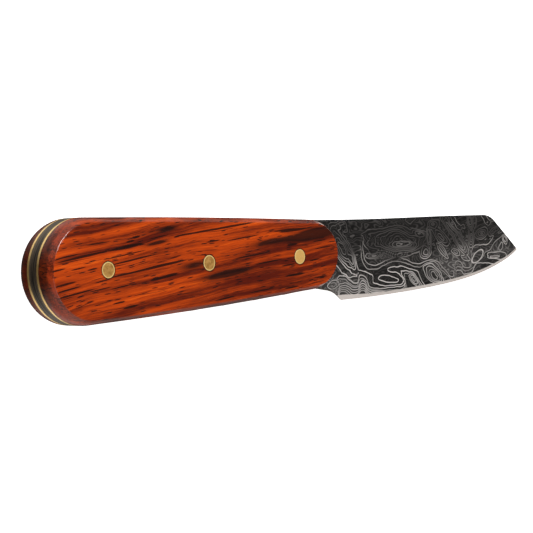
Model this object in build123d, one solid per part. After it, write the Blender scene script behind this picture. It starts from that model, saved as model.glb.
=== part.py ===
"""A fixed-blade knife with a full tang, metal liners, wooden scales and three pins.

The knife lies on its left scale: +X runs to the tip, +Y to the spine and +Z out of the
right scale. Outlines are drawn from the rear pin's axis, with Z = 0 on the blade's middle
plane, and the finished knife is then moved so that its origin is the middle of the
underside of its bounding box. All sizes are millimetres.
"""

from build123d import *
import os
from math import cos, hypot, radians, sin, sqrt

# Pins: 3/16 inch rod, 1.5 inch apart, flush with both scales.
PIN_DIAMETER = 4.76
PIN_SPACING = 38.1
PIN_NAMES = ("rear_pin", "middle_pin", "front_pin")
PIN_CHAMFER = 0.15
HOLE_CLEARANCE = 0.06

# Layers of the handle, from the middle plane outwards.
TANG_THICKNESS = 3.175
BOND_THICKNESS = 0.08
LINER_THICKNESS = 0.8
SCALE_THICKNESS = 4.65

# Handle outline: two end circles joined by two long, slightly bowed sides.
BUTT_CENTRE = (-5.6, -0.1)
BUTT_RADIUS = 14.9
FRONT_CENTRE = (84.0, 0.3)
FRONT_RADIUS = 10.95
SPINE_SIDE_RADIUS = 3000.0
BELLY_SIDE_RADIUS = 1800.0

# Scale wall: a short straight foot, then a rounded wall up to a flat face.
WALL_FOOT = 0.3
WALL_RADIUS = 7.0
FACE_EDGE_RADIUS = 0.4

# Blade outline.
SPINE_POINTS = [(98.5, 10.75), (120.0, 10.38), (150.0, 10.25)]
POINT_CORNER = (179.9, 9.85)
POINT_CORNER_RADIUS = 11.0
TIP = (196.6, -3.1)
CHOIL_CREST = (88.3, -10.45)
CHOIL_START = (95.0, -11.35)
CHOIL_SLOPE = -9.6
HEEL = (101.6, -15.1)

# The cutting edge behind the tip: distance along the knife and height of the edge.
EDGE_POINTS = [
    (118.0, -14.87),
    (134.0, -14.32),
    (151.0, -13.3),
    (165.0, -11.88),
    (178.0, -9.62),
    (183.0, -8.36),
    (188.0, -6.88),
    (192.5, -5.22),
]

# Grind: a full flat grind that starts at a rounded plunge line ahead of the scales. It is
# drawn up to GRIND_TOP, above the whole blade; the spine's thickness holds at SPINE_REFERENCE.
PLUNGE_START = 95.6
PLUNGE_LENGTH = 3.4
PLUNGE_STATIONS = 5
SPINE_TAPER_START = 98.5
SPINE_TAPER_END = 180.0
POINT_THICKNESS = 2.05
SHOULDER_THICKNESS = 0.44
EDGE_BEVEL_HEIGHT = 1.1
HEEL_BEVEL_HEIGHT = 1.7
HEEL_BEVEL_LENGTH = 14.0
GRIND_TOP = 12.5
SPINE_REFERENCE = 10.9
BEYOND_TIP = 4.0

HALF_TANG = TANG_THICKNESS / 2
TANG_BOND_BASE = HALF_TANG
LINER_BASE = TANG_BOND_BASE + BOND_THICKNESS
SCALE_BOND_BASE = LINER_BASE + LINER_THICKNESS
SCALE_BASE = SCALE_BOND_BASE + BOND_THICKNESS
HALF_HANDLE = SCALE_BASE + SCALE_THICKNESS


def side_arc(bow_radius, side):
    """Return the large arc that touches both end circles; side is +1 for the spine."""
    (x1, y1), (x2, y2) = BUTT_CENTRE, FRONT_CENTRE
    to_butt = bow_radius - BUTT_RADIUS
    to_front = bow_radius - FRONT_RADIUS
    span = hypot(x2 - x1, y2 - y1)
    along = (to_butt**2 - to_front**2 + span**2) / (2 * span)
    across = sqrt(to_butt**2 - along**2)
    ux, uy = (x2 - x1) / span, (y2 - y1) / span
    centre = Vector(x1 + along * ux + side * across * uy, y1 + along * uy - side * across * ux)
    butt_end = centre + (Vector(x1, y1) - centre).normalized() * bow_radius
    front_end = centre + (Vector(x2, y2) - centre).normalized() * bow_radius
    middle = centre + ((butt_end + front_end) / 2 - centre).normalized() * bow_radius
    return ThreePointArc(butt_end, middle, front_end)


def handle_sides():
    """Return the spine-side and belly-side arcs of the handle, each from butt to front."""
    return side_arc(SPINE_SIDE_RADIUS, 1), side_arc(BELLY_SIDE_RADIUS, -1)


def butt_arc(spine_side, belly_side):
    """Return the rounded butt, from the belly side to the spine side."""
    butt_point = Vector(BUTT_CENTRE[0] - BUTT_RADIUS, BUTT_CENTRE[1])
    return ThreePointArc(belly_side @ 0, butt_point, spine_side @ 0)


def handle_face():
    """Return the outline shared by the scales, the liners and the bond lines."""
    spine_side, belly_side = handle_sides()
    front_point = Vector(FRONT_CENTRE[0] + FRONT_RADIUS, FRONT_CENTRE[1])
    front = ThreePointArc(spine_side @ 1, front_point, belly_side @ 1)
    return make_face(butt_arc(spine_side, belly_side) + spine_side + front + belly_side)


def blade_outline():
    """Return the side view of the tang and blade, running on below the cutting edge.

    The outline drops straight down from the heel and on past the tip to a floor below the
    edge, because the grind itself forms the cutting edge.
    """
    spine_side, belly_side = handle_sides()
    spine = Spline(
        [spine_side @ 1, *SPINE_POINTS, POINT_CORNER],
        tangents=(spine_side % 1, Vector(1, -0.015)),
    )
    floor = HEEL[1] - 1
    slope = Vector(*TIP) - Vector(*POINT_CORNER)
    low_tip = Vector(*TIP) + slope * ((TIP[1] - floor) / -slope.Y)
    heel_floor = Vector(HEEL[0], floor)
    choil = TangentArc(
        CHOIL_START, HEEL, tangent=(cos(radians(CHOIL_SLOPE)), sin(radians(CHOIL_SLOPE)))
    )
    neck = Spline(
        [belly_side @ 1, CHOIL_CREST, CHOIL_START],
        tangents=(belly_side % 1, choil % 0),
    )
    sides = [
        butt_arc(spine_side, belly_side),
        spine_side,
        spine,
        Line(POINT_CORNER, low_tip),
        Line(low_tip, heel_floor),
        Line(heel_floor, HEEL),
        choil,
        neck,
        belly_side,
    ]
    return make_face(Curve() + sides)


def edge_height(x):
    """Return the height of the cutting edge, level before the heel and straight past the tip."""
    if x <= HEEL[0]:
        return HEEL[1]
    points = [HEEL, *EDGE_POINTS, TIP]
    for (x1, y1), (x2, y2) in zip(points, points[1:]):
        if x <= x2:
            break
    return y1 + (y2 - y1) * (x - x1) / (x2 - x1)


def bevel_height(x):
    """Return the height of the sharpened bevel, which grows towards the heel."""
    share = min(1, max(0, 1 - (x - HEEL[0]) / HEEL_BEVEL_LENGTH))
    return EDGE_BEVEL_HEIGHT + (HEEL_BEVEL_HEIGHT - EDGE_BEVEL_HEIGHT) * share


def grind_section(x, unground=0.0):
    """Return the blade's cross-section at x; unground is the share of metal still left on."""
    taper = (x - SPINE_TAPER_START) / (SPINE_TAPER_END - SPINE_TAPER_START)
    spine_half = HALF_TANG - (TANG_THICKNESS - POINT_THICKNESS) / 2 * max(0, taper)
    shoulder_half = SHOULDER_THICKNESS / 2
    edge = edge_height(x)
    shoulder = edge + bevel_height(x)
    lean = (spine_half - shoulder_half) / (SPINE_REFERENCE - shoulder)
    top_half = spine_half + lean * (GRIND_TOP - SPINE_REFERENCE)
    top_half += unground * (HALF_TANG - top_half)
    shoulder_half += unground * (HALF_TANG - shoulder_half)
    corners = [
        (x, GRIND_TOP, -top_half),
        (x, GRIND_TOP, top_half),
        (x, shoulder, shoulder_half),
        (x, edge, 0),
        (x, shoulder, -shoulder_half),
    ]
    return Face(Wire.make_polygon(corners, close=True))


def plunge():
    """Return the start of the grind, whose depth follows a quarter circle."""
    sections = []
    for station in range(PLUNGE_STATIONS):
        share = station / (PLUNGE_STATIONS - 1)
        unground = 1 - sqrt(1 - (1 - share) ** 2)
        sections.append(grind_section(PLUNGE_START + PLUNGE_LENGTH * share, unground))
    return loft(sections, ruled=True)


def ground_blade():
    """Return the flat-ground wedge from the plunge to beyond the tip."""
    plunge_end = PLUNGE_START + PLUNGE_LENGTH
    stations = [plunge_end, HEEL[0] + 5, *[x for x, _ in EDGE_POINTS], TIP[0], TIP[0] + BEYOND_TIP]
    return loft([grind_section(x) for x in stations])


def pin_holes():
    """Return the three drills that clear the pins."""
    radius = PIN_DIAMETER / 2 + HOLE_CLEARANCE
    return [
        Pos(PIN_SPACING * number, 0, 0) * Cylinder(radius, 4 * HALF_HANDLE)
        for number in range(len(PIN_NAMES))
    ]


def blade():
    """Return the blade and its full tang, forged as one piece."""
    profile = extrude(blade_outline(), GRIND_TOP, both=True)
    corner = profile.edges().filter_by(Axis.Z).sort_by_distance(POINT_CORNER)[0]
    profile = fillet(corner, POINT_CORNER_RADIUS)
    tang_length = PLUNGE_START - BUTT_CENTRE[0] + 2 * BUTT_RADIUS
    tang = Pos(PLUNGE_START - tang_length / 2, 0, 0) * Box(tang_length, 4 * BUTT_RADIUS, TANG_THICKNESS)
    return ((tang + plunge() + ground_blade()) & profile) - pin_holes()


def layer(base, thickness):
    """Return one flat handle layer on the right side, drilled for the pins."""
    return Pos(0, 0, base) * extrude(handle_face(), thickness) - pin_holes()


def scale():
    """Return the right wooden scale with its rounded wall and flat face."""
    blank = extrude(handle_face(), WALL_FOOT + WALL_RADIUS)
    blank = fillet(blank.faces().sort_by(Axis.Z)[-1].edges(), WALL_RADIUS)
    keep = extrude(offset(handle_face(), 1), SCALE_THICKNESS)
    shaped = blank & keep
    shaped = fillet(shaped.faces().sort_by(Axis.Z)[-1].edges(), FACE_EDGE_RADIUS)
    return Pos(0, 0, SCALE_BASE) * shaped - pin_holes()


def pin(number):
    """Return one pin with a small chamfer round each end."""
    rod = Cylinder(PIN_DIAMETER / 2, 2 * HALF_HANDLE)
    rod = chamfer(rod.edges().filter_by(GeomType.CIRCLE), PIN_CHAMFER)
    return Pos(PIN_SPACING * number, 0, 0) * rod


def knife():
    """Return every piece of the knife by name, in the drawing frame."""
    pieces = {"blade": blade()}
    right_layers = {
        "tang_bond": layer(TANG_BOND_BASE, BOND_THICKNESS),
        "liner": layer(LINER_BASE, LINER_THICKNESS),
        "scale_bond": layer(SCALE_BOND_BASE, BOND_THICKNESS),
        "scale": scale(),
    }
    for name, piece in right_layers.items():
        pieces[f"right_{name}"] = piece
        pieces[f"left_{name}"] = mirror(piece, about=Plane.XY)
    for number, name in enumerate(PIN_NAMES):
        pieces[name] = pin(number)
    return pieces


def main():
    pieces = knife()
    box = Compound(children=[Compound(piece.solids()) for piece in pieces.values()]).bounding_box()
    to_origin = Pos(-(box.min.X + box.max.X) / 2, -(box.min.Y + box.max.Y) / 2, -box.min.Z)
    os.makedirs("parts", exist_ok=True)
    for name, piece in pieces.items():
        export_step(to_origin * piece, f"parts/{name}.step")
    print("origin is", to_origin.position, "from the rear pin")


main()
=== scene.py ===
"""The looks of a full-tang knife with a pattern-welded blade, wooden scales and brass.

The knife lies on its left scale: +X runs to the tip, +Y to the spine and +Z out of the
right scale. Patterns are laid out in millimetres from the rear pin's axis on the blade's
middle plane, so they stay in place on every node.
"""

from math import cos, radians, sin

import bpy
from mathutils import Matrix, Vector

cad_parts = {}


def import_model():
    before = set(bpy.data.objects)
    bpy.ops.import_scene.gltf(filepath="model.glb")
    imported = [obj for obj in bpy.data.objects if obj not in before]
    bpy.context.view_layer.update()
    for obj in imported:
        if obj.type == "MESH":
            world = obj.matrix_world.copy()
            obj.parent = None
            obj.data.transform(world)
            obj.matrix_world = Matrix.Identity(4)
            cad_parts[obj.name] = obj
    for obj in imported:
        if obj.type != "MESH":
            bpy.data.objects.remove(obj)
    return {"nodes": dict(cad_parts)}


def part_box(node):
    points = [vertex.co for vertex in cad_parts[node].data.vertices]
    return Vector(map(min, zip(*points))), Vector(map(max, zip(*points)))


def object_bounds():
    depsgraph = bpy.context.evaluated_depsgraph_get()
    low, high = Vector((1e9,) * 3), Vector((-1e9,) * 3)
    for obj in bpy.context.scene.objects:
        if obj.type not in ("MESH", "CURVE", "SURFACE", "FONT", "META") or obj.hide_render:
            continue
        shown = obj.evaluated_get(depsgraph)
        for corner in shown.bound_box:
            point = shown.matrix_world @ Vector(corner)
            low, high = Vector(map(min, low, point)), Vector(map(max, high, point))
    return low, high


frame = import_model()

CAD_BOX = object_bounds()

MM = 0.001
LINER_NODES = ("right_liner", "left_liner")
PIN_NODES = ("rear_pin", "middle_pin", "front_pin")
BOND_NODES = ("right_tang_bond", "left_tang_bond", "right_scale_bond", "left_scale_bond")
# Each scale is its own piece of wood, so its random grain has its own seed.
SCALE_SEEDS = {"right_scale": 0.0, "left_scale": 40.0}

# Camera, from the rear pin's middle: millimetres and degrees.
CAMERA_AIM = (61.48, -2.27, 7.2)
CAMERA_DISTANCE = 511.44
CAMERA_HEADING = -2.27
CAMERA_ELEVATION = 44.84
CAMERA_ROLL = 2.65
SENSOR_WIDTH = 36.0
LENS = 115.12

# Square soft lights: direction from the knife, distance and side in metres, and watts.
LIGHTS = {
    "key": ((-0.1, 0.55, 0.85), 0.9, 0.38, 7.0),
    "fill": ((-0.7, -0.5, 0.6), 1.0, 0.7, 2.0),
}
# The room is dark but for its sides, which fade from the butt to the tip, and two low parts.
# Each pair is where a direction's part ahead, sideways or up starts and where it is full.
ROOM_COLOUR = (1.0, 0.94, 0.88, 1.0)
ROOM_STRENGTH = 0.06
SIDES = (0.2, 0.8)
SIDES_FADE = (0.15, 0.6)
SIDES_STRENGTH = (0.7, 0.18)
LOW_AHEAD = (0.75, 0.85)
LOW_AHEAD_HEIGHT = (-0.05, -0.2)
LOW_SIDES = (0.4, 0.65)
LOW_SIDES_HEIGHT = (-0.4, -0.65)
FLOOR_SIDE = 6.0
WHITE = (1.0, 1.0, 1.0, 1.0)
FLOOR_GREY = (0.9, 0.9, 0.9, 1.0)

# Sockets of a Mix node that hold its two colours and their mix.
MIX_LOW = 6
MIX_HIGH = 7
MIXED = 2


def middle(low, high):
    """Return the middle of a box given by two corners."""
    return (Vector(low) + Vector(high)) / 2


REAR_PIN = middle(*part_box("rear_pin"))
PIN_SPACING = (middle(*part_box("middle_pin")) - REAR_PIN).x / MM


class Term:
    """A number worked out by a shader; arithmetic on it adds Math nodes."""

    def __init__(self, shader, socket):
        self.shader = shader
        self.socket = socket

    def __add__(self, other):
        return self.shader.calc("ADD", self, other)

    __radd__ = __add__

    def __sub__(self, other):
        return self.shader.calc("SUBTRACT", self, other)

    def __rsub__(self, other):
        return self.shader.calc("SUBTRACT", other, self)

    def __mul__(self, other):
        return self.shader.calc("MULTIPLY", self, other)

    __rmul__ = __mul__

    def __truediv__(self, other):
        return self.shader.calc("DIVIDE", self, other)

    def __abs__(self):
        return self.shader.calc("ABSOLUTE", self)


class Shader:
    """Short calls that add nodes to one node tree."""

    def __init__(self, tree):
        self.tree = tree

    def put(self, socket, value):
        """Give a socket a constant, or link it to a term or another socket."""
        if isinstance(value, Term):
            value = value.socket
        if isinstance(value, bpy.types.NodeSocket):
            self.tree.links.new(value, socket)
        else:
            socket.default_value = value

    def add(self, kind, inputs=None, **settings):
        """Add a node with its settings, then fill its inputs."""
        node = self.tree.nodes.new(kind)
        for key, value in settings.items():
            setattr(node, key, value)
        for key, value in (inputs or {}).items():
            self.put(node.inputs[key], value)
        return node

    def calc(self, operation, *values):
        """Return the result of one Math node."""
        node = self.add("ShaderNodeMath", dict(enumerate(values)), operation=operation)
        return Term(self, node.outputs[0])

    def length(self, x, y):
        """Return how long a flat vector is."""
        return self.calc("SQRT", x * x + y * y)

    def split(self, vector):
        """Return the three parts of a vector socket."""
        outputs = self.add("ShaderNodeSeparateXYZ", {0: vector}).outputs
        return [Term(self, output) for output in outputs]

    def join(self, x, y, z):
        """Return a vector socket made of three parts."""
        return self.add("ShaderNodeCombineXYZ", {0: x, 1: y, 2: z}).outputs[0]

    def noise(self, place, grain, seed=0.0, detail=2.0, roughness=0.5):
        """Return smooth noise from 0 to 1, whose grain is given as its size each way.

        A place with two parts gets a flat slice of the noise, and the seed picks the slice.
        """
        parts = [part / size for part, size in zip(place, grain)]
        depth = parts.pop() if len(parts) == 3 else 0.0
        inputs = {"Vector": self.join(*parts, depth + seed), "Scale": 1.0}
        inputs |= {"Detail": detail, "Roughness": roughness}
        return Term(self, self.add("ShaderNodeTexNoise", inputs).outputs[0])

    def cells(self, place, grain):
        """Return the distance to the nearest of many scattered points, and its random number."""
        parts = [part / size for part, size in zip(place, grain)]
        outputs = self.add("ShaderNodeTexVoronoi", {"Vector": self.join(*parts), "Scale": 1.0}).outputs
        return Term(self, outputs["Distance"]), self.split(outputs["Color"])[0]

    def random(self, value):
        """Return a random number from 0 to 1 for each value."""
        node = self.add("ShaderNodeTexWhiteNoise", noise_dimensions="1D")
        self.put(node.inputs["W"], value)
        return Term(self, node.outputs["Value"])

    def ramp(self, value, start, end, low=0.0, high=1.0, kind="SMOOTHSTEP"):
        """Return low up to start and high from end; kind says how it runs between them."""
        inputs = {"Value": value, "From Min": start, "From Max": end, "To Min": low, "To Max": high}
        node = self.add("ShaderNodeMapRange", inputs, interpolation_type=kind)
        return Term(self, node.outputs[0])

    def curve(self, share, places):
        """Return the height of a smooth line through places, which lie between 0 and 1."""
        node = self.add("ShaderNodeFloatCurve", {"Value": share})
        node.mapping.extend = "HORIZONTAL"
        line = node.mapping.curves[0].points
        line[0].location = places[0]
        line[1].location = places[-1]
        for place in places[1:-1]:
            line.new(*place)
        for point in line:
            point.handle_type = "AUTO_CLAMPED"
        node.mapping.update()
        return Term(self, node.outputs[0])

    def oval(self, place, px, py, half_length, half_width, turn=0.0):
        """Return the square of how far out a place (x, y, 1) lies in an oval, 1 on its rim."""
        c = cos(radians(turn))
        n = sin(radians(turn))
        long_axis = (c / half_length, n / half_length, -(px * c + py * n) / half_length)
        short_axis = (-n / half_width, c / half_width, (px * n - py * c) / half_width)
        dots = []
        for axis in (long_axis, short_axis):
            node = self.add("ShaderNodeVectorMath", {0: place, 1: axis}, operation="DOT_PRODUCT")
            dots.append(Term(self, node.outputs["Value"]))
        return self.calc("MULTIPLY_ADD", dots[0], dots[0], dots[1] * dots[1])

    def colour(self, share, low, high):
        """Return a colour between low and high; share is 0 for low and 1 for high."""
        inputs = {"Factor": share, MIX_LOW: low, MIX_HIGH: high}
        return self.add("ShaderNodeMix", inputs, data_type="RGBA").outputs[MIXED]

    def bump(self, height, distance):
        """Return a normal that follows height, in units of distance metres."""
        return self.add("ShaderNodeBump", {"Height": height, "Distance": distance}).outputs[0]


class Material(Shader):
    """One material. Its place is a point of the surface, in millimetres from the rear pin."""

    def __init__(self, name):
        self.material = bpy.data.materials.new(name)
        self.material.use_nodes = True
        super().__init__(self.material.node_tree)
        self.tree.nodes.clear()
        coordinates = self.add("ShaderNodeTexCoord").outputs["Object"]
        from_pin = self.add("ShaderNodeVectorMath", {0: coordinates, 1: REAR_PIN}, operation="SUBTRACT")
        scaled = {0: from_pin.outputs[0], "Scale": 1 / MM}
        self.place = self.add("ShaderNodeVectorMath", scaled, operation="SCALE").outputs[0]

    def finish(self, **inputs):
        """Add the surface shader with the given inputs and return the material."""
        named = {key.replace("_", " "): value for key, value in inputs.items()}
        surface = self.add("ShaderNodeBsdfPrincipled", named)
        output = self.add("ShaderNodeOutputMaterial")
        self.put(output.inputs[0], surface.outputs[0])
        return self.material


def rgb(red, green, blue):
    """Return the linear colour of an 8-bit sRGB colour."""
    values = [component / 255 for component in (red, green, blue)]
    return [v / 12.92 if v <= 0.04045 else ((v + 0.055) / 1.055) ** 2.4 for v in values] + [1.0]


# Distances from a pin's axis: its rim, which gets a painted highlight, its dark edge and the glue
# around it, each as where it starts and where it is full.
PIN_RIM_HIGHLIGHT = (1.88, 2.1)
PIN_EDGE = (2.2, 2.3)
PIN_GLUE = (2.75, 2.55)


def pin_radius(s, x, y):
    """Return how far a place lies from the nearest pin's axis."""
    nearest = s.calc("MINIMUM", s.calc("ROUND", x / PIN_SPACING), len(PIN_NODES) - 1.0)
    return s.length(x - PIN_SPACING * s.calc("MAXIMUM", nearest, 0.0), y)


# Wood colours, and the slope and bend of the grain line that runs through the rear pin.
AMBER = rgb(232, 100, 22)
ORANGE = rgb(192, 69, 12)
RED_BROWN = rgb(84, 21, 8)
INK = rgb(24, 10, 8)
END_RED = rgb(158, 54, 22)
END_DARK = rgb(30, 12, 8)
GRAIN_RISE = 0.135
GRAIN_BEND = -0.0004

# Sizes of the wood's random patterns along the grain, across it and through the scale.
WANDER = (24, 12, 12)
BANDS = (60, 2.6, 2.6)
STREAKS = (24, 0.7, 0.8)
FIBRES = (5, 0.16, 0.2)
VEINS = (45, 1.3, 2)
VEIN_BREAKS = (7, 0.6, 1)
PORES = (4.6, 0.55, 3)
END_DOTS = (1.2, 0.45, 0.45)
END_STAINS = (6, 4, 2)
STAIN_SEED = 3.0
PORE_DEPTH = 0.06 * MM

# Where each part of the wood's look starts and where it is full. Tones and noises run from 0
# to 1, and a lean is a part of the surface's normal: along the knife or out of its face.
ORANGE_TONE = (0.36, 0.6)
AMBER_TONE = (0.56, 0.72)
VEIN_WIDTH = (0.02, 0.004)
VEIN_CHANCE = (0.45, 0.58)
PORE_WIDTH = (0.32, 0.2)
PORE_CHANCE = (0.35, 0.6)
DRAWN_INK = (0.2, 0.62)
END_LEAN = (0.12, 0.6)
WALL_LEAN = (0.5, 0.2)
SPECKLE = (0.34, 0.6)
# Painted shade: the left scale's end grain is darkened, fading out between these depths.
LEFT_SCALE_PAINTED_SHADE = (-3.0, -1.0)

# The end grain is darker near the middle of the handle: that middle across and through the handle,
# how far out the darkening starts and how far out it is full.
END_DARK_MIDDLE = (0.5, 1.0)
END_DARK_MIDDLE_ACROSS = (12.0, 4.0)
END_DARK_MIDDLE_THROUGH = (5.4, 2.6)

# What a soft oval patch has left of its strength on its rim.
PATCH_RIM = 0.37

# Lighter and darker zones: along, across, half length, half width, change of tone.
TONE_ZONES = [
    (-2, -1.0, 17, 5.0, 0.35),
    (38, 6.8, 26, 3.0, 0.3),
    (62, 10.0, 14, 1.3, 0.3),
    (18, 1.6, 12, 1.2, -0.4),
    (-6, 9.5, 12, 3.0, -0.35),
    (16, 8.5, 12, 2.5, -0.35),
    (56, -7.5, 26, 4.5, -0.5),
    (58, -1.0, 20, 3.5, -0.55),
    (60, 4.0, 14, 2.5, -0.25),
    (87, 4.0, 7, 0.8, 0.25),
    (86, -1.0, 10, 3.5, -0.12),
    (85, -5.0, 8, 1.0, 0.4),
]
# Soft black figure: along, across, half length, half width, darkness.
DARK_CLOUDS = [
    (18.2, 6.6, 3.6, 0.45, 1.7),
    (22.3, 10.5, 3.8, 0.80, 1.3),
    (32.0, -0.4, 5.6, 1.1, 1.1),
    (45.3, -3.5, 8.6, 0.95, 2.0),
    (63.5, 5.1, 7.5, 0.9, 1.2),
    (81.5, 6.2, 10.0, 1.2, 2.2),
    (85.0, 7.9, 7.0, 0.9, 1.8),
]
# Black lines, in the same way.
DARK_LINES = [
    (-9.0, 4.0, 7.2, 0.28, 1.7),
    (-14.0, 4.3, 4.2, 0.22, 1.2),
    (7.3, 6.1, 4.8, 0.40, 1.9),
    (8.4, 7.6, 1.3, 0.25, 1.7),
    (10.5, 8.7, 1.3, 0.30, 1.5),
    (19.0, 8.3, 3.4, 0.14, 1.4),
    (6.5, 3.9, 6.5, 0.17, 1.4),
    (9.3, 2.4, 7.6, 0.20, 1.7),
    (6.6, -1.4, 5.3, 0.20, 1.9),
    (19.4, 0.2, 8.0, 0.32, 1.9),
    (-15.4, -3.2, 3.2, 0.25, 1.7),
    (-14.0, -4.6, 3.6, 0.20, 1.5),
    (-11.7, -5.9, 5.8, 0.22, 1.7),
    (-3.0, -5.2, 3.2, 0.16, 1.5),
    (-2.4, -3.0, 2.4, 0.15, 1.4),
    (4.4, -4.9, 3.6, 0.17, 1.5),
    (-10.4, 0.9, 2.3, 0.18, 1.5),
    (-5.6, 0.5, 1.4, 0.20, 1.7),
    (-17.7, 0.7, 2.4, 0.22, 1.5),
    (3.2, -9.2, 1.9, 0.22, 1.5),
    (7.5, -10.6, 2.6, 0.30, 1.4),
    (17.7, -3.4, 2.4, 0.32, 1.5),
    (22.6, -2.7, 2.6, 0.38, 1.4),
    (28.0, 8.5, 2.8, 0.22, 1.5),
    (36.0, 9.2, 5.5, 0.25, 1.4),
    (47.5, 10.3, 8.0, 0.28, 1.5),
    (52.0, 6.8, 5.6, 0.17, 1.7),
    (40.0, 6.3, 2.4, 0.20, 1.5),
    (74.0, 8.3, 5.0, 0.35, 1.6),
    (73.6, -5.3, 3.6, 0.28, 1.8),
    (71.9, -9.1, 2.6, 0.22, 1.6),
    (85.3, 4.6, 2.6, 0.18, 1.5),
    (69.5, 8.4, 3.6, 0.22, 1.5),
    (73.0, 3.9, 1.8, 0.30, 1.7),
    (56.0, 1.5, 7.0, 0.20, 1.4),
    (62.5, -0.9, 5.0, 0.22, 1.4),
    (71.0, -2.2, 2.6, 0.20, 1.5),
    (59.3, -9.2, 4.8, 0.18, 1.5),
    (44.0, -10.6, 3.2, 0.22, 1.5),
    (82.6, -1.2, 1.8, 0.20, 1.7),
    (85.3, -6.7, 2.2, 0.20, 1.7),
    (87.0, 2.4, 4.0, 0.16, 1.5),
]


def patches(s, x, y, rows):
    """Return a sum of soft oval patches."""
    total = 0.0
    place = s.join(x, y, 1.0)
    for px, py, half_length, half_width, strength in rows:
        inside = s.calc("POWER", PATCH_RIM, s.oval(place, px, py, half_length, half_width))
        total = total + strength * inside
    return total


def grain_line(x):
    """Return how far across the grain line through the rear pin lies."""
    return GRAIN_RISE * x + GRAIN_BEND * x * x


def along_grain(rows):
    """Return patches with their middles counted from the grain line."""
    return [(px, py - grain_line(px), *rest) for px, py, *rest in rows]


def wood_tone(s, grain, zones, seed):
    """Return the wood's colour without its black figure, and its streaks and fibres."""
    bands = s.noise(grain, BANDS, seed, detail=1.0)
    streaks = s.noise(grain, STREAKS, seed, detail=3.0, roughness=0.75)
    fibres = s.noise(grain, FIBRES, seed)
    tone = 0.46 * bands + 0.34 * streaks + 0.2 * fibres + 0.17 * zones
    dull = s.colour(s.ramp(tone, *ORANGE_TONE), RED_BROWN, ORANGE)
    return s.colour(s.ramp(tone, *AMBER_TONE), dull, AMBER), streaks, fibres


def vein_lines(s, grain, seed):
    """Return thin broken lines along the grain."""
    veins = abs(s.noise(grain, VEINS, seed, detail=1.0) - 0.5)
    breaks = s.noise(grain, VEIN_BREAKS, seed, detail=1.0)
    return s.ramp(veins, *VEIN_WIDTH) * s.ramp(breaks, *VEIN_CHANCE)


def open_pores(s, grain):
    """Return short dark pores along the grain."""
    distance, chance = s.cells(grain, PORES)
    return s.ramp(distance, *PORE_WIDTH) * s.ramp(chance, *PORE_CHANCE)


def end_colour(s, x, y, z):
    """Return the speckled colour of the end grain, darkest in its middle, with painted shade on the left
    scale.
    """
    dots = s.noise((x, y, z), END_DOTS)
    stains = s.noise((x, y, z), END_STAINS, STAIN_SEED, detail=1.0)
    dark_middle = s.ramp(abs(y - END_DARK_MIDDLE[0]), *END_DARK_MIDDLE_ACROSS) * s.ramp(abs(z - END_DARK_MIDDLE[1]), *END_DARK_MIDDLE_THROUGH)
    speckle = s.ramp(0.5 * dots + 0.5 * stains - 0.4 * dark_middle, *SPECKLE)
    # Painted shade darkens the left scale's end grain.
    return s.colour(speckle * s.ramp(z, *LEFT_SCALE_PAINTED_SHADE, low=0.2), END_DARK, END_RED)


def wood(name, seed):
    """Return oiled rosewood: orange and red-brown bands, black figure, pores and dark end grain."""
    s = Material(name)
    x, y, z = s.split(s.place)
    straight = y - grain_line(x)
    wander = s.noise((x, y, z), WANDER, seed, detail=1.0) - 0.5
    grain = (x, straight + 0.15 * z + 2.4 * wander, z)
    zones = patches(s, x, straight, along_grain(TONE_ZONES))
    bent = straight + 0.5 * wander
    clouds = patches(s, x, bent, along_grain(DARK_CLOUDS))
    drawn = patches(s, x, bent, along_grain(DARK_LINES))
    base, streaks, fibres = wood_tone(s, grain, zones, seed)
    lines = vein_lines(s, grain, seed)
    pores = open_pores(s, grain)
    glue = s.ramp(pin_radius(s, x, y), *PIN_GLUE)
    broken_up = 0.3 + 1.3 * streaks
    figure = clouds * broken_up + s.ramp(drawn * broken_up, *DRAWN_INK)
    ink = figure + 0.9 * lines + 0.95 * pores + 0.4 * glue
    inked = s.colour(s.calc("MINIMUM", ink, 0.92), base, INK)
    lean = s.split(s.add("ShaderNodeNewGeometry").outputs["Normal"])
    end_grain = s.ramp(abs(lean[0]), *END_LEAN)
    wall = s.ramp(abs(lean[2]), *WALL_LEAN)
    colour = s.colour(0.75 * end_grain, inked, end_colour(s, x, y, z))
    hollows = (0.6 * pores + 0.4 * lines + 0.15 * fibres) * (1 - end_grain)
    return s.finish(
        Base_Color=colour,
        Roughness=0.4,
        Specular_IOR_Level=0.1,
        Coat_Weight=0.85 - 0.55 * wall,
        Coat_Roughness=0.1,
        Normal=s.bump(hollows, -PORE_DEPTH),
    )


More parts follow.
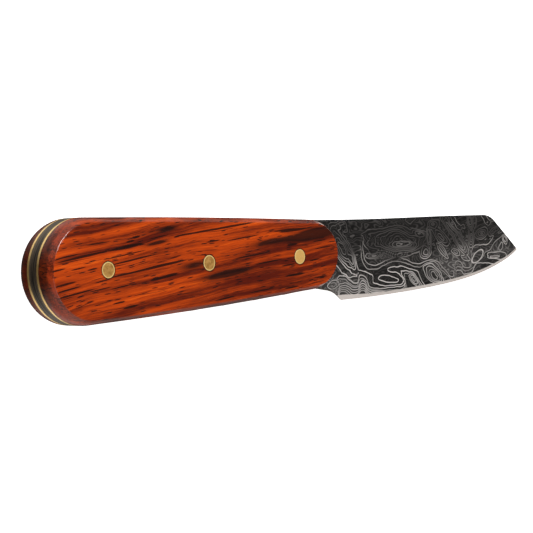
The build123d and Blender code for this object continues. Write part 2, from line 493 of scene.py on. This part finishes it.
# Steel layers on the right face. A stratum is a stack of layers under a long line: how many
# layers, how far apart, and points on its first line. Layers of a stratum with a minus sign
# end where the stratum before it went on.
STRATA_START = 94.0
STRATA_LENGTH = 106.0
STRATA_FLOOR = -16.0
STRATA_HEIGHT = 30.0
LONG_WAVE = [
    (110.4, 14), (111.0, 2), (111.7, -1.5), (113.0, -4.0), (115.5, -5.6), (119, -5.85), (122.5, -5.3),
    (126, -4.3), (128.5, -4.0), (131, -4.3), (136, -5.6), (141, -6.4), (144, -5.7), (147, -5.3),
    (149.5, -5.8), (153, -8.4), (157, -10.8), (159, -12.5), (160.3, -9), (161.3, -7.5), (163, -7.4),
    (165, -8.6), (167, -9.4), (169, -8.9), (172.4, -6.5), (175.6, -4.6), (177, -3.3), (179.4, -2.5),
    (183, 0.1), (188.5, 3.0), (200, 8),
]
UPPER_WAVE = [
    (110.9, 14), (112.0, 2), (112.7, -0.6), (114.2, -3.0), (117, -4.3), (120, -4.5), (124, -3.6),
    (129, -2.9), (133, -3.7), (137, -4.9), (141, -5.0), (145, -4.5), (149, -4.9), (153, -7.0),
    (156, -9.0), (158.4, -10.6), (159.6, -9), (160.3, -6.3), (162, -5.6), (164, -6.3), (166, -7.9),
    (167.6, -8.2), (169, -7.2), (169.6, -3.4), (170.6, -1.2), (172.5, -0.6), (176, -0.6), (179, -0.4),
    (181, 1.2), (183.5, 2.6), (187.5, 4.3), (200, 10),
]
LOWER_WAVE = [
    (94, 0.5), (98, -2.6), (100, -4.2), (104, -7.0), (106.5, -8.2), (108.6, -8.2), (110, -6.6),
    (112, -6.4), (117.0, -7.9), (117.6, -10.2), (120, -11), (124, -11.5), (131, -11.7), (132.4, -11.3),
    (133.1, -10.6), (133.5, -12), (134, -16), (160.2, -16), (160.8, -9.4), (162, -8.5), (163.5, -8.7),
    (166, -10.3), (168.5, -10.4), (171, -8.0), (173, -6.7), (177, -7.1), (181, -7.5), (200, -9),
]
HEEL_WAVE = [
    (99.2, -16), (99.7, -8.6), (100.4, -7.6), (101.8, -7.1), (103.4, -7.3), (106, -8.8), (109.0, -9.9),
    (109.7, -8.4), (110.8, -7.7), (112.6, -8.0), (114.4, -9.0), (114.9, -10.8), (117, -11.9),
    (122, -12.3), (131, -12.5), (132.8, -12.1), (133.9, -11.3), (134.4, -13), (134.8, -16),
]
HEEL_ARCHES = [
    (100.4, -16), (101.0, -10.2), (102, -9.4), (103.6, -9.3), (105.5, -10.0), (108, -11), (109.6, -11),
    (110.4, -9.8), (111.6, -9.2), (113, -9.6), (114, -11), (116, -12.6), (122, -13.4), (126, -16),
]
TONGUE_TOP = [
    (124, -6.7), (124.6, -6.3), (125.5, -6.0), (127, -5.8), (129, -5.7), (131, -5.8), (133.5, -6.2),
    (136, -6.8), (138, -7.4), (140, -8.2), (141, -9.3), (142.5, -11.3), (144, -13), (146, -16),
]
TONGUE_BOTTOM = [
    (124, -6.7), (125.2, -7.2), (126.5, -7.4), (128.3, -7.4), (130.5, -8.0), (132, -8.8), (132.9, -9.8),
    (133.3, -10.6), (133.6, -12), (134, -16),
]
INNER_TOP = [
    (130.8, -7.5), (131.6, -7.3), (133.5, -7.3), (136, -7.7), (138, -8.5), (139.5, -9.6), (140.8, -11.2),
    (142.5, -12.8), (144, -16),
]
INNER_BOTTOM = [
    (130.8, -7.5), (132, -7.9), (133.3, -8.7), (134, -9.9), (134.2, -11.3), (134.5, -13), (134.9, -16),
]
STRATA = [
    (1, 0.9, LONG_WAVE),
    (1, 0.9, UPPER_WAVE),
    (1, 0.9, LOWER_WAVE),
    (2, 0.9, HEEL_WAVE),
    (5, 0.8, HEEL_ARCHES),
    (1, 0.9, TONGUE_TOP),
    (-1, 0.9, TONGUE_BOTTOM),
    (2, 0.85, INNER_TOP),
    (-2, 0.85, INNER_BOTTOM),
]

# Rises in the layers, which grinding cut into nested loops: along, across, half length and
# half width of the outer loop, its turn in degrees, and the number of loops.
LOOP_SPACING = 0.8
RISES = [
    (124.9, -9.6, 5.0, 1.0, -4, 1),
    (102.3, 1.8, 11.2, 3.3, 128, 5),
    (107.2, -2.6, 3.2, 1.4, 105, 2),
    (102.2, 8.2, 3.0, 1.5, -28, 1),
    (132.0, 1.3, 7.0, 1.1, -4, 2),
    (135.6, 1.7, 2.0, 0.45, -4, 1),
    (129.5, 2.6, 17.0, 5.0, -3, 6),
    (140.5, 5.0, 3.2, 1.0, -25, 2),
    (118.0, -1.5, 3.6, 0.8, 0, 2),
    (144.2, -1.8, 2.6, 2.0, 0, 3),
    (146.0, 3.2, 1.4, 4.0, 10, 3),
    (152.8, -1.1, 4.2, 1.1, -42, 1),
    (152.9, -1.2, 2.6, 0.4, -42, 1),
    (153.0, 3.0, 5.6, 2.0, -30, 3),
    (148.5, 7.6, 3.6, 1.6, 5, 3),
    (160.9, 7.8, 3.6, 0.9, -52, 1),
    (155.5, 8.2, 5.0, 1.6, -40, 2),
    (161.0, 3.0, 9.0, 1.6, -40, 3),
    (163.5, -0.5, 5.0, 1.2, -40, 2),
    (160.6, -2.6, 2.4, 1.0, -15, 2),
    (166.0, -4.6, 2.6, 0.8, -15, 1),
    (169.4, 2.2, 1.9, 3.4, 0, 4),
    (168.4, 8.0, 1.3, 3.2, 32, 3),
    (177.8, 8.3, 2.7, 1.2, -42, 1),
    (171.6, 7.5, 1.2, 2.2, 0, 2),
    (175.5, 3.4, 3.4, 2.3, 5, 3),
    (183.0, 4.0, 5.0, 1.2, 27, 2),
    (182.0, -5.1, 3.4, 0.4, 3, 1),
    (184.0, -4.6, 5.6, 1.3, -4, 1),
    (186.3, -1.4, 1.6, 1.0, 60, 1),
    (188.8, 0.9, 2.4, 1.1, -50, 2),
    (148.4, -9.2, 5.6, 2.5, -32, 4),
    (150.5, -10.8, 2.6, 0.8, -12, 1),
    (138.0, -10.4, 3.4, 1.2, -44, 3),
    (97.5, -9.9, 3.6, 1.3, 8, 2),
]
# Patches of paler ground, and of clearer or fainter lines: along, across, half length, half
# width, strength.
PALE_GROUND = [
    (104, -11.5, 9, 4, 0.5),
    (156, -6.0, 9, 4, 0.5),
    (168, -3, 6, 4, 0.35),
    (187, -3, 9, 3, 0.4),
    (95, -9, 7, 3, 0.35),
    (165, -8.6, 8, 3, 0.3),
    (128, -2.0, 14, 2.5, 0.2),
]
CLEAR_LINES = [
    (112.3, -1.2, 1.6, 4.0, 0.9),
    (111.3, 8.0, 2.0, 6.0, -0.08),
    (129.5, 3.0, 14.0, 4.0, -0.06),
    (125.5, -2.8, 12.0, 1.6, -0.75),
    (131.8, 1.6, 6.0, 1.1, 0.25),
    (143.0, 5.6, 5.0, 1.6, 0.08),
    (100.5, 3.0, 3.5, 6.0, 0.06),
    (177.8, 8.3, 3, 2, 0.5),
    (160.9, 7.8, 3, 2, 0.35),
    (152.8, -1.1, 4, 3, 0.35),
    (147.5, -9.4, 5, 2.6, -0.5),
    (137.5, -10.3, 3.2, 1.8, -0.45),
]
# One loop that crosses the layers near the tip: along, across, half length, half width, turn.
TIP_LOOP = (173.0, -4.4, 3.5, 1.6, 29)
TIP_LOOP_WIDTH = (0.16, 0.05)

# The left face shows the same layers end for end: these are the two ends' places added up.
MIRROR_SUM = 292.0
# How far apart the layers are compared to find how steeply they cross a face, and the square
# of the slope that level layers count as.
SLOPE_STEP = 0.06
LEVEL_SLOPE = 0.02

# Sizes of the steel's random patterns along the blade and across it, with the slice of noise
# that each takes. Drifts move the layers by up to half their reach each way.
RIPPLES = (7, 2.2)
RIPPLE_SEED = 2.0
FOLDS = (16, 6)
FOLD_SEED = 4.0
CREASES = (4, 2)
CREASE_SEED = 6.0
WOBBLE = {"grain": (7, 7), "reach": (1.8, 1.2), "seeds": (5.0, 9.0)}
SHAKE = {"grain": (2.4, 2.4), "reach": (0.7, 0.5), "seeds": (1.0, 3.0)}
GRIND_STREAKS = (14, 14, 0.4)
# Angles, in radians, that the fine lines' waves turn for a layer, a fold and a crease.
LAYER_TURN = 12.6
FOLD_TURN = 92
CREASE_TURN = 28

# Where across the blade the lines turn clear. It rises with the edge from a place along it.
CLEAR_HEIGHT = (0.5, -4.5)
EDGE_RISE = 0.16
EDGE_RISE_START = 160.0
# Where each part of the layers' look starts and where it is full: how near to a bold line's
# middle, how near to it the dark bands lie from outside and inside, and how steep the layers
# with fine lines are.
LINE_WIDTH = (0.22, 0.06)
HALO_OUTSIDE = (0.75, 0.25)
HALO_INSIDE = (0.1, 0.3)
FINE_SLOPE = (4.5, 1.5)
FINE_SHARPNESS = 3.0

# The bevel lies ahead of the heel, where the normal leans this far towards the edge but less
# than on the choil. On the spine and the tang's edges it has little part out of a face.
BEVEL_LEAN = (-0.09, -0.12)
CHOIL_LEAN = (-0.6, -0.5)
HEEL_PLACE = (98.0, 99.0)
SPINE_LEAN = (0.6, 0.4)
GRIND_TONE = (0.35, 0.65)
BEVEL_GREY = rgb(202, 194, 189)
SPINE_DARK = rgb(20, 18, 15)
SPINE_LIGHT = rgb(104, 92, 76)


def strata_share(x, y):
    """Return a place as shares of the strata's length and height."""
    return (x - STRATA_START) / STRATA_LENGTH, (y - STRATA_FLOOR) / STRATA_HEIGHT


def layer_index(s, x, y, ripple):
    """Return which forged layer shows at a place; the bright lines are halfway between."""
    share, height = strata_share(x, y)
    index = 0.0
    for layers, spacing, points in STRATA:
        line = s.curve(share, [strata_share(*point) for point in points])
        half = 0.5 * spacing / STRATA_HEIGHT
        last = (2 * abs(layers) - 1) * half
        index = index + s.ramp(line - height, -half, last, 0.0, layers, kind="LINEAR")
    place = s.join(x, y, 1.0)
    for *oval, loops in RISES:
        half_width = oval[3]
        radius = s.calc("SQRT", s.oval(place, *oval))
        step = min(LOOP_SPACING, half_width / loops) / half_width
        index = index + s.ramp(radius, 1 + step / 2, 1 - (loops - 0.5) * step, 0.0, loops, kind="LINEAR")
    return index + ripple * (s.noise((x, y), RIPPLES, RIPPLE_SEED, detail=0.0) - 0.5)


def layer_slope(s, x, y, ripple, index):
    """Return how many layers a millimetre crosses at a place with the given index."""
    rise_x = (layer_index(s, x + SLOPE_STEP, y, ripple) - index) / SLOPE_STEP
    rise_y = (layer_index(s, x, y + SLOPE_STEP, ripple) - index) / SLOPE_STEP
    return s.calc("SQRT", rise_x * rise_x + rise_y * rise_y + LEVEL_SLOPE)


def drift(s, x, y, grain, reach, seeds):
    """Return how far smooth noise moves a place along and across."""
    slices = [s.noise((x, y), grain, seed, detail=0.0) for seed in seeds]
    return [most * (part - 0.5) for most, part in zip(reach, slices)]


def line_clearness(s, x, y):
    """Return how clearly the layers' lines show, which is most near the edge."""
    rise = EDGE_RISE * s.calc("MAXIMUM", x - EDGE_RISE_START, 0.0)
    clear = s.ramp(y - rise, *CLEAR_HEIGHT) + patches(s, x, y, CLEAR_LINES)
    return s.calc("MINIMUM", clear, 1.0)


def etched_layers(s, x, y):
    """Return how bright the etched layers are: bold lines, dark beside them, on fine lines."""
    clear = line_clearness(s, x, y)
    wobble = drift(s, x, y, **WOBBLE)
    shake = drift(s, x, y, **SHAKE)
    u = x + wobble[0] + shake[0]
    v = y + wobble[1] + shake[1]
    ripple = 2.4 - 1.8 * clear
    index = layer_index(s, u, v, ripple)
    slope = layer_slope(s, u, v, ripple, index)
    layer = s.calc("FLOOR", index)
    distance = abs(index - layer - 0.5) / slope
    weight = 0.5 + 0.5 * s.random(layer)
    line = s.ramp(distance, *LINE_WIDTH) * weight * (0.11 + 0.89 * clear)
    halo = s.ramp(distance, *HALO_OUTSIDE) * s.ramp(distance, *HALO_INSIDE)
    fold = s.noise((u, v), FOLDS, FOLD_SEED, detail=0.0)
    crease = s.noise((u, v), CREASES, CREASE_SEED, detail=0.0)
    turn = LAYER_TURN * index + FOLD_TURN * fold + CREASE_TURN * crease
    wave = 0.5 + 0.5 * s.calc("COSINE", turn)
    fine = s.calc("POWER", wave, FINE_SHARPNESS) * s.ramp(slope, *FINE_SLOPE)
    pale = patches(s, x, y, PALE_GROUND)
    ground = (0.031 + 0.28 * pale) * (0.5 + (2.1 - 0.6 * clear) * fine)
    loop_radius = s.calc("SQRT", s.oval(s.join(x + shake[0], y + shake[1], 1.0), *TIP_LOOP))
    loop = s.ramp(abs(loop_radius - 1), *TIP_LOOP_WIDTH)
    value = ground * (1 - 0.65 * halo) + 0.95 * line * (1 - pale)
    return s.calc("MAXIMUM", value, 0.8 * loop)


def steel():
    """Return etched pattern-welded steel with a bright ground bevel."""
    s = Material("pattern_welded_steel")
    x, y, z = s.split(s.place)
    on_left = s.calc("LESS_THAN", z, 0.0)
    value = etched_layers(s, x + on_left * (MIRROR_SUM - 2 * x), y)
    face = s.join(value, 0.95 * value, 0.92 * value)
    lean = s.split(s.add("ShaderNodeNewGeometry").outputs["True Normal"])
    bevel = s.ramp(lean[1], *BEVEL_LEAN) * s.ramp(lean[1], *CHOIL_LEAN) * s.ramp(x, *HEEL_PLACE)
    streaks = s.noise((x, y, z), GRIND_STREAKS)
    edge_on = s.ramp(abs(lean[2]), *SPINE_LEAN)
    side = s.colour(s.ramp(streaks, *GRIND_TONE), SPINE_DARK, SPINE_LIGHT)
    colour = s.colour(edge_on, s.colour(bevel, face, BEVEL_GREY), side)
    return s.finish(Base_Color=colour, Metallic=0.5 - 0.5 * bevel, Roughness=0.46 - 0.12 * bevel)


# Brass and adhesive: colours, the sizes of their random patterns in each direction, and where
# their brighter parts start and are full. The liners carry a painted sheen: they are painted
# brighter away from the middle of the butt.
LINER_DIM = rgb(140, 106, 50)
LINER_BRIGHT = rgb(255, 218, 142)
LINER_SANDING = (4, 4, 0.12)
LINER_STAINS = (1.5, 1.5, 1.5)
LINER_TONE = (0.2, 0.5)
# Painted sheen: heights from the butt's middle where the liners' painted sheen starts and where it is
# full.
LINER_PAINTED_SHEEN_HEIGHT = (1.0, 6.0)
PIN_DULL = rgb(160, 116, 54)
PIN_BRIGHT = rgb(208, 160, 90)
# The next two golds are painted highlights: one brightens the front pin, the other each pin's rim.
PIN_HIGHLIGHT_GOLD = rgb(255, 208, 124)
PIN_RIM_HIGHLIGHT_GOLD = rgb(250, 218, 142)
PIN_EDGE_DARK = rgb(60, 32, 14)
PIN_SCRATCHES = (0.25, 0.5, 2)
PIN_STAINS = (1.1, 1.1, 1.5)
PIN_TONE = (0.35, 0.62)
# Painted highlight: where along the knife the front pin's painted brightness starts and is full.
FRONT_PIN_HIGHLIGHT_PLACE = (50.0, 70.0)
BRASS_SEED = 5.0
SCRATCH_DEPTH = 0.01 * MM
GLUE_DARK = rgb(30, 18, 14)
GLUE_LIGHT = rgb(52, 32, 22)
GLUE_CLOUDS = (2, 2, 2)


def liner_brass():
    """Return brass sheet with a sanded edge and a painted sheen away from the middle of the butt."""
    s = Material("liner_brass_sheet")
    x, y, z = s.split(s.place)
    sanded = s.noise((x, y, z), LINER_SANDING, roughness=0.6)
    stains = s.noise((x, y, z), LINER_STAINS, BRASS_SEED)
    tone = s.ramp(0.5 * sanded + 0.5 * stains, *LINER_TONE)
    # Painted sheen: the random tone is painted brighter away from the middle of the butt.
    tone_and_painted_sheen = tone * s.ramp(abs(y), *LINER_PAINTED_SHEEN_HEIGHT, low=0.5)
    colour = s.colour(tone_and_painted_sheen, LINER_DIM, LINER_BRIGHT)
    relief = s.bump(sanded, SCRATCH_DEPTH)
    return s.finish(Base_Color=colour, Metallic=0.6, Roughness=0.34, Normal=relief)


def pin_brass():
    """Return brass rod with a finely sanded end and a painted highlight on its rim; a painted highlight
    makes the front pin the brightest.
    """
    s = Material("pin_brass_rod")
    x, y, z = s.split(s.place)
    scratches = s.noise((x, y, z), PIN_SCRATCHES, detail=3.0, roughness=0.65)
    stains = s.noise((x, y, z), PIN_STAINS, BRASS_SEED)
    worn = s.colour(s.ramp(0.5 * scratches + 0.5 * stains, *PIN_TONE), PIN_DULL, PIN_BRIGHT)
    # Painted highlight: the front pin is painted brighter.
    face = s.colour(s.ramp(x, *FRONT_PIN_HIGHLIGHT_PLACE, high=0.65), worn, PIN_HIGHLIGHT_GOLD)
    radius = pin_radius(s, x, y)
    # Painted highlight: a bright ring is painted round each pin's rim.
    rim_highlighted = s.colour(s.ramp(radius, *PIN_RIM_HIGHLIGHT), face, PIN_RIM_HIGHLIGHT_GOLD)
    colour = s.colour(s.ramp(radius, *PIN_EDGE), rim_highlighted, PIN_EDGE_DARK)
    relief = s.bump(scratches, SCRATCH_DEPTH)
    return s.finish(Base_Color=colour, Metallic=0.35, Roughness=0.4, Normal=relief)


def adhesive():
    """Return dark cured adhesive."""
    s = Material("dark_adhesive")
    clouds = s.noise(s.split(s.place), GLUE_CLOUDS, detail=3.0)
    return s.finish(Base_Color=s.colour(clouds, GLUE_DARK, GLUE_LIGHT), Roughness=0.35)


def dress(nodes, material):
    """Give CAD nodes one material."""
    for node in nodes:
        for slot in frame["nodes"][node].material_slots:
            slot.material = material


def camera():
    """Add the camera behind the butt, above the right scale, with the spine up."""
    heading = radians(CAMERA_HEADING)
    elevation = radians(CAMERA_ELEVATION)
    forward = Vector((cos(elevation) * cos(heading), cos(elevation) * sin(heading), -sin(elevation)))
    spine = Vector((0, 1, 0))
    up = (spine - forward * forward.dot(spine)).normalized()
    up = Matrix.Rotation(radians(CAMERA_ROLL), 3, forward) @ up
    right = forward.cross(up)
    aim = REAR_PIN + Vector(CAMERA_AIM) * MM
    data = bpy.data.cameras.new("camera")
    data.sensor_width = SENSOR_WIDTH
    data.lens = LENS
    item = bpy.data.objects.new("camera", data)
    turn = Matrix((right, up, -forward)).transposed()
    item.matrix_world = Matrix.Translation(aim - forward * CAMERA_DISTANCE * MM) @ turn.to_4x4()
    bpy.context.scene.collection.objects.link(item)
    bpy.context.scene.camera = item


def area_light(name, direction, distance, side, power):
    """Add a square soft light, aimed at the knife from a direction."""
    data = bpy.data.lights.new(name, "AREA")
    data.shape = "SQUARE"
    data.size = side
    data.energy = power
    item = bpy.data.objects.new(name, data)
    item.location = middle(*CAD_BOX) + Vector(direction).normalized() * distance
    item.rotation_euler = Vector(direction).to_track_quat("Z", "Y").to_euler()
    bpy.context.scene.collection.objects.link(item)


def world():
    """Add a dark room with bright sides, which lights the knife and shows in its coat and metal."""
    room = bpy.data.worlds.new("studio")
    bpy.context.scene.world = room
    room.use_nodes = True
    background = room.node_tree.nodes["Background"]
    background.inputs["Color"].default_value = ROOM_COLOUR
    s = Shader(room.node_tree)
    ahead, sideways, height = s.split(s.add("ShaderNodeTexCoord").outputs["Generated"])
    sides = s.ramp(abs(sideways), *SIDES) * s.ramp(ahead, *SIDES_FADE, *SIDES_STRENGTH)
    low_ahead = s.ramp(ahead, *LOW_AHEAD) * s.ramp(height, *LOW_AHEAD_HEIGHT)
    low_sides = s.ramp(abs(sideways), *LOW_SIDES) * s.ramp(height, *LOW_SIDES_HEIGHT)
    strength = ROOM_STRENGTH + sides + 1.4 * low_ahead + 0.6 * low_sides
    s.put(background.inputs["Strength"], strength)


def floor():
    """Add a plain white floor that glows, so that no shadow shows, and that lights nothing."""
    bpy.ops.mesh.primitive_plane_add(size=FLOOR_SIDE, location=(0, 0, 0))
    plane = bpy.context.object
    plane.name = "floor"
    material = bpy.data.materials.new("floor_white")
    material.use_nodes = True
    surface = material.node_tree.nodes["Principled BSDF"]
    surface.inputs["Base Color"].default_value = FLOOR_GREY
    surface.inputs["Roughness"].default_value = 0.9
    surface.inputs["Emission Color"].default_value = WHITE
    surface.inputs["Emission Strength"].default_value = 1.0
    plane.data.materials.append(material)
    plane.visible_diffuse = False
    plane.visible_glossy = False


def main():
    """Build the studio and dress every node of the knife."""
    camera()
    world()
    floor()
    for name, settings in LIGHTS.items():
        area_light(name, *settings)
    bpy.context.scene.view_settings.view_transform = "Standard"
    for node, seed in SCALE_SEEDS.items():
        dress([node], wood(f"rosewood_{node}", seed))
    dress(["blade"], steel())
    dress(LINER_NODES, liner_brass())
    dress(PIN_NODES, pin_brass())
    dress(BOND_NODES, adhesive())


main()
